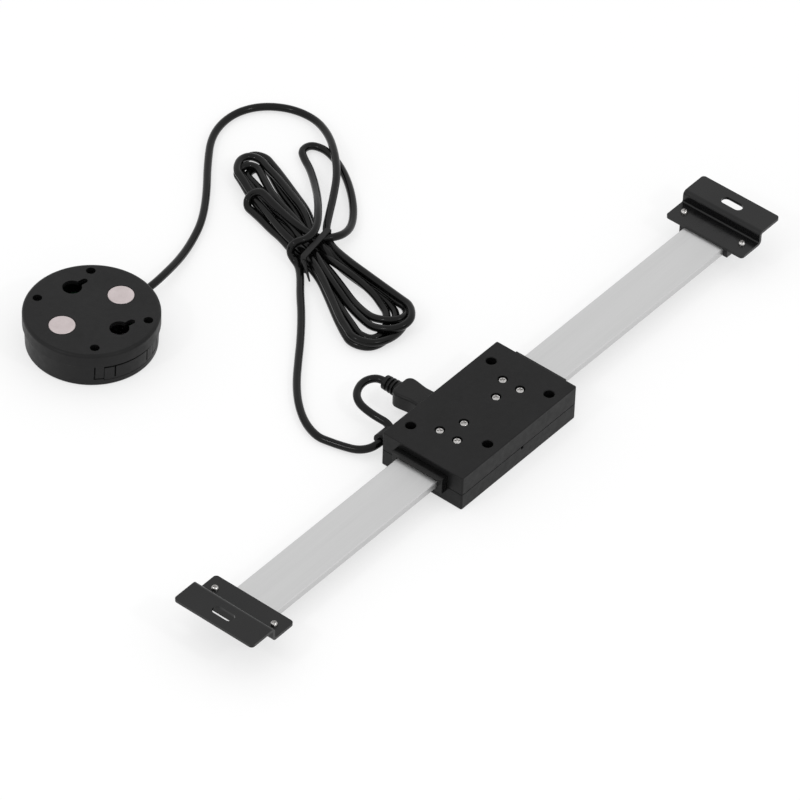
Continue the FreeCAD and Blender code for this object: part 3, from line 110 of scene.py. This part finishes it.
UPPER_LOOPS = [
    Loop(out=[(15.0, -1.7, 5.2), (27.0, -2.4, 2.6), (40.0, -4.4, LAID)],
         first=(53.0, -6.9, LAID), last=(54.0, -21.7, LAID), depth=9.6, lean=-0.25,
         back=[(46.7, -20.7, LAID), (32.3, -17.4, LAID), (18.0, -14.1, LAID)]),
    Loop(out=[(15.0, 3.9, 5.2), (28.0, 1.2, 5.0), (40.0, -1.2, 4.0)],
         first=(52.2, -3.7, 5.6), last=(52.0, -16.8, 4.8), depth=8.8, lean=-0.3,
         back=[(41.6, -15.9, 4.8), (30.8, -13.9, 4.8), (17.3, -11.2, 4.8)]),
    Loop(out=[(11.0, 0.9, LAID), (24.0, -4.4, LAID), (36.0, -7.2, LAID)],
         first=(51.4, -8.4, LAID), last=(49.7, -17.5, LAID), depth=4.6, lean=-0.2,
         back=[(42.5, -15.4, LAID), (34.5, -12.9, LAID), (21.0, -10.3, LAID)]),
    Loop(out=[(13.0, 1.1, 5.0), (24.0, 1.6, 3.4), (37.0, 0.2, 2.4)],
         first=(54.0, -4.4, 3.2), last=(51.5, -13.0, 4.4), depth=4.6, lean=-0.3, lift=0.3,
         back=[(43.6, -10.4, 4.8), (33.6, -7.2, 4.8), (20.0, -5.6, 4.8)]),
    Loop(out=[(13.0, 4.9, 2.2), (21.0, 4.6, LAID), (28.0, 3.9, 1.9)],
         first=(35.9, 3.6, LAID), last=(34.4, -2.2, 8.7), depth=4.5,
         back=[(27.0, -1.7, 8.4), (19.7, -1.4, 8.0), (11.0, -1.5, 7.6)]),
]

# Where each pass of the cord lies under the tie: across to the left, and height
RIGHT_SLOTS = [(-6.8, 4.2), (-5.6, 2.3), (-4.4, 4.4), (-1.6, 2.6), (-3.2, 5.2), (-2.8, 6.7)]
LEFT_SLOTS = [(1.6, 5.3), (4.9, 5.3), (0.4, 2.5), (3.4, 2.5), (6.6, 2.5)]

# Route of the cord outside the hank, from the display to the plug
DISPLAY_LEAD = [
    GLAND_EXIT, (-20.4, 156.04, 6.0), (-11.0, 157.5, 5.15), (1.5, 160.6, 2.95), (13.5, 164.6, LAID),
    (26.5, 170.1, LAID), (40.5, 179.7, LAID), (56.0, 192.6, LAID), (71.0, 203.4, LAID), (86.0, 206.2, LAID),
    (98.5, 201.5, LAID), (106.6, 190.6, LAID), (108.0, 177.4, 2.35), (102.4, 165.2, 4.05),
    (93.4, 154.2, 5.95), (83.4, 144.4, 6.2), (72.0, 136.8, 5.6), (61.0, 130.2, 5.4), (53.0, 125.2, 5.4),
]
SIDE_LOOP = [
    (46.6, 122.6, 6.6), (51.2, 118.9, 6.3), (57.6, 118.4, 4.5), (64.8, 120.8, 2.8), (72.8, 126.4, 1.95),
    (80.6, 134.0, LAID), (87.0, 142.0, LAID), (92.0, 150.2, LAID), (95.0, 157.8, LAID), (95.6, 163.4, LAID),
    (93.6, 168.2, LAID), (88.4, 168.4, LAID), (85.0, 163.6, LAID), (81.6, 157.8, 2.15), (75.6, 150.6, 3.55),
    (68.8, 143.4, 5.6), (62.0, 137.0, 8.2), (56.0, 131.9, 9.8), (50.0, 127.2, 10.3),
]
OVER_WAIST = [
    (44.4, 124.4, 10.4), (38.8, 124.2, 10.2), (35.3, 126.3, 10.1), (33.4, 127.6, 8.0), (32.6, 127.2, 5.0),
]
HEAD_LEAD = [
    (32.6, 125.2, 2.8), (31.9, 122.4, 1.9), (29.2, 119.0, LAID), (24.8, 115.0, LAID), (19.4, 110.6, LAID),
    (8.5, 100.6, LAID), (-4.1, 90.6, LAID), (-12.7, 84.4, LAID), (-24.4, 75.6, LAID), (-33.4, 66.9, LAID),
    (-40.0, 57.8, LAID), (-43.0, 49.0, LAID), (-41.9, 43.2, LAID), (-40.4, 37.0, 1.95), (-38.8, 31.4, 2.4),
    (-35.8, 27.3, 3.6), (-31.9, 25.6, 5.0), (-23.7, 25.6, 5.0), (-21.3, 30.0, 5.8), (-22.0, 35.0, 6.4),
    (-22.0, 40.2, 6.9), (-21.2, 45.0, 7.3), (-18.7, 48.8, 7.6), (-14.8, 51.1, 7.9), (-10.4, 51.7, 8.1),
    (-6.9, 50.2, 8.2), (-5.1, 47.6, 8.3), (-5.1, 44.8, 8.3),
]

# Sockets of the mix node that carry colours
MIX_FIRST = 6
MIX_SECOND = 7
MIX_RESULT = 2


# Finishes

class Finish:
    """A procedural material: a principled shader and the nodes that feed it, in the object's own metres."""

    def __init__(self, name, **constants):
        self.material = bpy.data.materials.new(name)
        self.material.use_nodes = True
        self.tree = self.material.node_tree
        self.shader = self.tree.nodes["Principled BSDF"]
        self.place = self.add("ShaderNodeTexCoord").outputs["Object"]
        for socket, value in constants.items():
            self.shader.inputs[socket.replace("_", " ")].default_value = value

    def add(self, kind):
        return self.tree.nodes.new(kind)

    def link(self, source, target):
        self.tree.links.new(source, target)

    def feed(self, socket, source):
        self.link(source, self.shader.inputs[socket])

    def stretched(self, stretch):
        """The object's coordinates, scaled apart along its axes."""
        mapping = self.add("ShaderNodeMapping")
        mapping.inputs["Scale"].default_value = stretch
        self.link(self.place, mapping.inputs["Vector"])
        return mapping.outputs["Vector"]

    def noise(self, scale, detail=3.0, stretch=None):
        """Soft noise; scale is in features per metre."""
        node = self.add("ShaderNodeTexNoise")
        node.inputs["Scale"].default_value = scale
        node.inputs["Detail"].default_value = detail
        self.link(self.stretched(stretch) if stretch else self.place, node.inputs["Vector"])
        return node.outputs["Fac"]

    def cells(self, scale):
        """Pebbled grain; scale is in features per metre."""
        node = self.add("ShaderNodeTexVoronoi")
        node.inputs["Scale"].default_value = scale
        self.link(self.place, node.inputs["Vector"])
        return node.outputs["Distance"]

    def between(self, source, low, high, start=0.3, end=0.7):
        """A number that goes from low to high as its source goes from start to end, by default noise."""
        node = self.add("ShaderNodeMapRange")
        node.inputs["From Min"].default_value = start
        node.inputs["From Max"].default_value = end
        node.inputs["To Min"].default_value = low
        node.inputs["To Max"].default_value = high
        self.link(source, node.inputs["Value"])
        return node.outputs["Result"]

    def tint(self, source, first, second):
        """A colour that follows a number from 0 to 1; each end is a colour or another node's output."""
        node = self.add("ShaderNodeMix")
        node.data_type = "RGBA"
        self.link(source, node.inputs["Factor"])
        for index, colour in ((MIX_FIRST, first), (MIX_SECOND, second)):
            if isinstance(colour, tuple):
                node.inputs[index].default_value = (*colour, 1)
            else:
                self.link(colour, node.inputs[index])
        return node.outputs[MIX_RESULT]

    def mottled(self, texture, dark, light):
        """A colour that wanders from dark to light with a texture."""
        return self.tint(self.between(texture, low=0.0, high=1.0), dark, light)

    def roughen(self, texture, middle, below, above):
        """Lets the shader's roughness wander about its middle with a texture."""
        self.feed("Roughness", self.between(texture, low=middle - below, high=middle + above))

    def rounded(self, radius):
        """Surface directions with the sharp edges softened."""
        node = self.add("ShaderNodeBevel")
        node.samples = 4
        node.inputs["Radius"].default_value = radius
        return node.outputs["Normal"]

    def edges(self, normal, reach):
        """1 along the softened edges and 0 elsewhere."""
        true = self.add("ShaderNodeNewGeometry").outputs["Normal"]
        dot = self.add("ShaderNodeVectorMath")
        dot.operation = "DOT_PRODUCT"
        self.link(normal, dot.inputs[0])
        self.link(true, dot.inputs[1])
        return self.between(dot.outputs["Value"], low=1.0, high=0.0, start=reach, end=1.0)

    def bump(self, texture, distance, normal=None):
        """Surface directions roughened by a texture; distance is its depth in metres."""
        node = self.add("ShaderNodeBump")
        node.inputs["Distance"].default_value = distance
        node.inputs["Strength"].default_value = 1.0
        self.link(texture, node.inputs["Height"])
        if normal:
            self.link(normal, node.inputs["Normal"])
        return node.outputs["Normal"]


def moulded(name, dark, light, worn, roughness, specular, grain, depth, edge):
    """Moulded plastic: mottled colour, fine grain, softened edges that are rubbed a little lighter."""
    finish = Finish(name, Specular_IOR_Level=specular)
    soft = finish.rounded(radius=edge)
    rubbed = finish.edges(soft, reach=0.85)
    body = finish.mottled(finish.noise(scale=60), dark, light)
    finish.feed("Base Color", finish.tint(rubbed, body, worn))
    finish.roughen(finish.noise(scale=350, detail=5), roughness, below=0.05, above=0.06)
    finish.feed("Normal", finish.bump(finish.cells(grain), depth, soft))
    return finish.material


def painted(name, dark, light, worn, roughness, specular):
    """A baked coat: a faint orange-peel, worn lighter in patches along the softened edges."""
    finish = Finish(name, Specular_IOR_Level=specular)
    soft = finish.rounded(radius=0.12 * MM)
    patches = finish.between(finish.noise(scale=900, detail=2), low=0.0, high=1.0, start=0.52, end=0.66)
    chips = finish.add("ShaderNodeMath")
    chips.operation = "MULTIPLY"
    finish.link(finish.edges(soft, reach=0.8), chips.inputs[0])
    finish.link(patches, chips.inputs[1])
    coat = finish.mottled(finish.noise(scale=45), dark, light)
    finish.feed("Base Color", finish.tint(chips.outputs["Value"], coat, worn))
    finish.roughen(finish.noise(scale=500, detail=4), roughness, below=0.05, above=0.07)
    finish.feed("Normal", finish.bump(finish.noise(scale=1300, detail=2), distance=0.012 * MM, normal=soft))
    return finish.material


def brushed(name, dark, light, roughness):
    """Drawn aluminium: fine lines and faint streaks along X, edges a little softened."""
    finish = Finish(name, Metallic=1.0)
    soft = finish.rounded(radius=0.15 * MM)
    lines = finish.noise(scale=1, detail=4, stretch=(30, 2600, 2600))
    streaks = finish.noise(scale=1, detail=3, stretch=(6, 240, 240))
    finish.feed("Base Color", finish.mottled(streaks, dark, light))
    finish.roughen(lines, roughness, below=0.06, above=0.08)
    finish.feed("Normal", finish.bump(lines, distance=0.006 * MM, normal=soft))
    return finish.material


def plated(name, dark, light, roughness, clouds):
    """Plated metal: slightly cloudy, with finer rubbing marks and dents in step with the clouds' scale."""
    finish = Finish(name, Metallic=1.0)
    soft = finish.rounded(radius=0.12 * MM)
    rubs = finish.noise(scale=6 * clouds, detail=5)
    dents = finish.noise(scale=9 * clouds, detail=4)
    finish.feed("Base Color", finish.mottled(finish.noise(scale=clouds), dark, light))
    finish.roughen(rubs, roughness, below=0.06, above=0.1)
    finish.feed("Normal", finish.bump(dents, distance=0.01 * MM, normal=soft))
    return finish.material


def sheathed(name, dark, light, roughness, specular):
    """Soft vinyl: smooth with a slow waviness and patches that are duller from handling."""
    finish = Finish(name, Specular_IOR_Level=specular)
    finish.feed("Base Color", finish.mottled(finish.noise(scale=90), dark, light))
    finish.roughen(finish.noise(scale=140, detail=4), roughness, below=0.05, above=0.12)
    finish.feed("Normal", finish.bump(finish.noise(scale=320, detail=3), distance=0.05 * MM))
    return finish.material


def circuit(name, mask, copper):
    """Solder mask with the lines of the tracks showing through it."""
    finish = Finish(name, Specular_IOR_Level=0.5)
    tracks = finish.add("ShaderNodeTexBrick")
    tracks.inputs["Scale"].default_value = 220
    tracks.inputs["Mortar Size"].default_value = 0.03
    finish.link(finish.place, tracks.inputs["Vector"])
    finish.feed("Base Color", finish.tint(tracks.outputs["Fac"], mask, copper))
    finish.feed("Roughness", finish.between(finish.noise(scale=700), low=0.3, high=0.42))
    finish.feed("Normal", finish.bump(tracks.outputs["Fac"], distance=0.03 * MM))
    return finish.material


def clear(name, dull, bright):
    """The display's clear pane, with hair-fine marks."""
    finish = Finish(name, Transmission_Weight=1.0, IOR=1.49)
    marks = finish.noise(scale=1, detail=4, stretch=(80, 1500, 80))
    finish.feed("Base Color", finish.tint(finish.noise(scale=50), dull, bright))
    finish.feed("Roughness", finish.between(marks, low=0.02, high=0.09))
    return finish.material


def crystal(name, dark, light):
    """The grey-green of a switched-off liquid-crystal panel."""
    finish = Finish(name, Specular_IOR_Level=0.4)
    finish.feed("Base Color", finish.tint(finish.noise(scale=40), dark, light))
    finish.feed("Roughness", finish.between(finish.noise(scale=900), low=0.25, high=0.35))
    return finish.material


HEAD_CASE = moulded(
    "head_case", dark=(0.003, 0.003, 0.0031), light=(0.005, 0.005, 0.0052), worn=(0.012, 0.012, 0.012),
    roughness=0.45, specular=0.2, grain=2600, depth=0.02 * MM, edge=0.14 * MM)
GUIDE_PLASTIC = moulded(
    "guide_plastic", dark=(0.003, 0.003, 0.003), light=(0.005, 0.005, 0.005), worn=(0.01, 0.01, 0.01),
    roughness=0.2, specular=0.2, grain=2200, depth=0.006 * MM, edge=0.12 * MM)
DISPLAY_CASE = moulded(
    "display_case", dark=(0.0035, 0.0035, 0.0037), light=(0.006, 0.006, 0.0062), worn=(0.015, 0.015, 0.015),
    roughness=0.46, specular=0.22, grain=2400, depth=0.025 * MM, edge=0.12 * MM)
OVERMOULD = moulded(
    "overmould", dark=(0.003, 0.003, 0.0031), light=(0.005, 0.005, 0.005), worn=(0.009, 0.009, 0.009),
    roughness=0.36, specular=0.22, grain=1800, depth=0.015 * MM, edge=0.15 * MM)
BUTTON = moulded(
    "button", dark=(0.02, 0.02, 0.021), light=(0.03, 0.03, 0.031), worn=(0.05, 0.05, 0.05),
    roughness=0.6, specular=0.35, grain=1500, depth=0.02 * MM, edge=0.15 * MM)
BRACKET_PAINT = painted(
    "bracket_paint", dark=(0.003, 0.003, 0.0032), light=(0.006, 0.006, 0.0062), worn=(0.02, 0.02, 0.02),
    roughness=0.22, specular=0.31)
SCREW_BLACK = painted(
    "screw_black", dark=(0.003, 0.003, 0.003), light=(0.007, 0.007, 0.007), worn=(0.03, 0.03, 0.03),
    roughness=0.3, specular=0.3)
STRIP = painted(
    "strip", dark=(0.02, 0.017, 0.015), light=(0.03, 0.026, 0.022), worn=(0.06, 0.05, 0.045),
    roughness=0.55, specular=0.3)
BEAM_ALUMINIUM = brushed(
    "beam_aluminium", dark=(0.585, 0.585, 0.585), light=(0.61, 0.61, 0.61), roughness=0.42)
SCREW_NICKEL = plated(
    "screw_nickel", dark=(0.44, 0.43, 0.42), light=(0.58, 0.57, 0.56), roughness=0.16, clouds=500)
SOCKET_METAL = plated(
    "socket_metal", dark=(0.5, 0.5, 0.5), light=(0.62, 0.62, 0.61), roughness=0.3, clouds=300)
MAGNET = plated(
    "magnet", dark=(0.56, 0.495, 0.495), light=(0.63, 0.56, 0.56), roughness=0.42, clouds=180)
CELL = plated(
    "cell", dark=(0.6, 0.6, 0.59), light=(0.7, 0.7, 0.69), roughness=0.3, clouds=150)
CORD = sheathed(
    "cord", dark=(0.002, 0.002, 0.002), light=(0.004, 0.004, 0.004), roughness=0.15, specular=0.19)
TIE = sheathed(
    "tie", dark=(0.003, 0.003, 0.003), light=(0.005, 0.005, 0.005), roughness=0.32, specular=0.25)
BOARD = circuit("board", mask=(0.01, 0.07, 0.035), copper=(0.05, 0.16, 0.07))
PANE = clear("pane", dull=(0.93, 0.95, 0.94), bright=(0.97, 0.98, 0.97))
PANEL = crystal("panel", dark=(0.28, 0.32, 0.26), light=(0.33, 0.37, 0.30))

FINISH_OF = {
    "head_upper_case": HEAD_CASE, "head_lower_case": HEAD_CASE, "cable_clip": HEAD_CASE,
    "slide_guide_near": GUIDE_PLASTIC, "slide_guide_far": GUIDE_PLASTIC,
    "end_block_near": GUIDE_PLASTIC, "end_block_far": GUIDE_PLASTIC,
    "guide_screws": SCREW_NICKEL, "bracket_screws": SCREW_NICKEL, "display_screws": SCREW_BLACK,
    "sensor_board": BOARD, "display_board": BOARD,
    "plug_socket": SOCKET_METAL, "plug_shell": SOCKET_METAL,
    "plug_body": OVERMOULD, "cord_gland": OVERMOULD,
    "beam": BEAM_ALUMINIUM, "scale_strip": STRIP,
    "bracket_near": BRACKET_PAINT, "bracket_far": BRACKET_PAINT,
    "display_back_cover": DISPLAY_CASE, "display_front_case": DISPLAY_CASE, "battery_tray": DISPLAY_CASE,
    "display_magnets": MAGNET, "display_window": PANE, "crystal_panel": PANEL, "coin_cell": CELL,
    "button_1": BUTTON, "button_2": BUTTON, "button_3": BUTTON, "button_4": BUTTON,
    "cable_tie": TIE,
}


def dress(node, material):
    """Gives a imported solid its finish."""
    mesh = NODES[node].data
    if not mesh.materials:
        mesh.materials.append(material)
    for index in range(len(mesh.materials)):
        mesh.materials[index] = material


for node, material in FINISH_OF.items():
    dress(node, material)


# Cord

def on_hank(along, across, height):
    """A place in the hank's own directions, in the frame's."""
    return (HANK_X + math.cos(HANK_TURN) * along - math.sin(HANK_TURN) * across,
            HANK_Y + math.sin(HANK_TURN) * along + math.cos(HANK_TURN) * across, height)


def loop_end(loop):
    """Points round the end of a loop, from shoulder to shoulder."""
    first = Vector(loop.first)
    last = Vector(loop.last)
    middle = (first + last) / 2
    half = (last - first) / 2
    side = math.copysign(1.0, loop.first[0])
    outward = Vector((side, loop.lean, 0)).normalized()
    inward = Vector((-side * SHOULDER, 0, 0))
    points = [tuple(first + inward)]
    for step in range(END_STEPS):
        angle = math.pi * (step + 0.5) / END_STEPS
        point = middle - half * math.cos(angle) * END_SWELL
        point += outward * loop.depth * math.sin(angle) * END_SWELL
        point.z += loop.lift * math.sin(angle)
        points.append(tuple(point))
    return points + [tuple(last + inward)]


def hank_loop(enter, loop, leave):
    """From under the tie out along one strand, round the loop's end and back under the tie."""
    side = math.copysign(TIE_HOLD, loop.first[0])
    return [(side, *enter), *loop.out, *loop_end(loop), *loop.back, (side, *leave)]


def hank_points():
    """All the turns, from the display's strand to the one that leaves for the side loop."""
    points = []
    for turn, (lower, upper) in enumerate(zip(LOWER_LOOPS, UPPER_LOOPS)):
        points += hank_loop(RIGHT_SLOTS[turn], lower, LEFT_SLOTS[turn])
        points += hank_loop(LEFT_SLOTS[turn], upper, RIGHT_SLOTS[turn + 1])
    return [on_hank(*point) for point in points]


def make_cord():
    """One spline from the display's gland to the plug."""
    route = DISPLAY_LEAD + hank_points() + SIDE_LOOP + OVER_WAIST + HEAD_LEAD
    curve = bpy.data.curves.new("cord", "CURVE")
    curve.dimensions = "3D"
    curve.bevel_depth = CORD_RADIUS * MM
    curve.bevel_resolution = 5
    curve.resolution_u = 8
    curve.use_fill_caps = True
    spline = curve.splines.new("NURBS")
    spline.points.add(len(route) - 1)
    for point, place in zip(spline.points, route):
        point.co = (*(Vector(place) * MM), 1)
    spline.order_u = 3
    spline.use_endpoint_u = True
    curve.materials.append(CORD)
    cord = bpy.data.objects.new("cord", curve)
    bpy.context.scene.collection.objects.link(cord)
    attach(cord, "reading_head")
    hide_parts(*CORD_NODES)


make_cord()


# Floor, light and camera

def seen(finish):
    """1 for what the camera, metal and glass look at, and 0 for what only lights."""
    path = finish.add("ShaderNodeLightPath")
    total = path.outputs["Is Camera Ray"]
    for name in ("Is Glossy Ray", "Is Transmission Ray"):
        either = finish.add("ShaderNodeMath")
        either.operation = "MAXIMUM"
        finish.link(total, either.inputs[0])
        finish.link(path.outputs[name], either.inputs[1])
        total = either.outputs["Value"]
    return total


def make_floor():
    """A plain pale sheet under everything, whitened where it is seen, with the shadow kept."""
    half = FLOOR_SIZE / 2
    mesh = bpy.data.meshes.new("floor")
    corners = [(-half, -half), (half, -half), (half, half), (-half, half)]
    mesh.from_pydata([(x, y, -FLOOR_DROP) for x, y in corners], [], [(0, 1, 2, 3)])
    finish = Finish("floor_paper", Base_Color=FLOOR_COLOUR, Roughness=0.9, Specular_IOR_Level=0.1)
    glow = finish.add("ShaderNodeEmission")
    glow.inputs["Strength"].default_value = 1.0
    blend = finish.add("ShaderNodeMixShader")
    share = finish.between(seen(finish), low=0.0, high=FLOOR_GLOW, start=0.0, end=1.0)
    finish.link(share, blend.inputs["Fac"])
    finish.link(finish.shader.outputs["BSDF"], blend.inputs[1])
    finish.link(glow.outputs["Emission"], blend.inputs[2])
    finish.link(blend.outputs["Shader"], finish.tree.nodes["Material Output"].inputs["Surface"])
    mesh.materials.append(finish.material)
    floor = bpy.data.objects.new("floor", mesh)
    bpy.context.scene.collection.objects.link(floor)


def make_sky():
    """An even white surround, which gives most of the light."""
    world = bpy.data.worlds.new("surround")
    world.use_nodes = True
    background = world.node_tree.nodes["Background"]
    background.inputs["Color"].default_value = WHITE
    background.inputs["Strength"].default_value = SKY_STRENGTH
    bpy.context.scene.world = world


def make_lamp(name, x, y):
    """A small square lamp that faces the object from the given side."""
    lamp = bpy.data.lights.new(name, "AREA")
    lamp.shape = "SQUARE"
    lamp.size = LAMP_SIZE
    lamp.energy = LAMP_WATTS
    way = Vector((x, y, 0)).normalized() * math.cos(LAMP_ELEVATION)
    way.z = math.sin(LAMP_ELEVATION)
    holder = bpy.data.objects.new(name, lamp)
    holder.location = LAMP_TARGET + way * LAMP_DISTANCE
    holder.rotation_euler = way.to_track_quat("Z", "Y").to_euler()
    bpy.context.scene.collection.objects.link(holder)


def make_camera():
    """The photograph's view."""
    level = math.cos(CAMERA_ELEVATION)
    back = Vector((math.sin(CAMERA_AZIMUTH) * level, -math.cos(CAMERA_AZIMUTH) * level,
                   math.sin(CAMERA_ELEVATION)))
    right = Vector((math.cos(CAMERA_AZIMUTH), math.sin(CAMERA_AZIMUTH), 0))
    up = back.cross(right)
    rolled_right = right * math.cos(CAMERA_ROLL) + up * math.sin(CAMERA_ROLL)
    rolled_up = up * math.cos(CAMERA_ROLL) - right * math.sin(CAMERA_ROLL)
    camera = bpy.data.objects.new("camera", bpy.data.cameras.new("camera"))
    camera.data.lens = CAMERA_LENS
    camera.data.sensor_width = CAMERA_SENSOR
    turned = Matrix((rolled_right, rolled_up, back)).transposed().to_4x4()
    camera.matrix_world = Matrix.Translation(CAMERA_EYE) @ turned
    bpy.context.scene.collection.objects.link(camera)
    bpy.context.scene.camera = camera


make_floor()
make_sky()
for name, side in LAMP_SIDES.items():
    make_lamp(name, *side)
make_camera()
bpy.context.scene.view_settings.view_transform = "Standard"
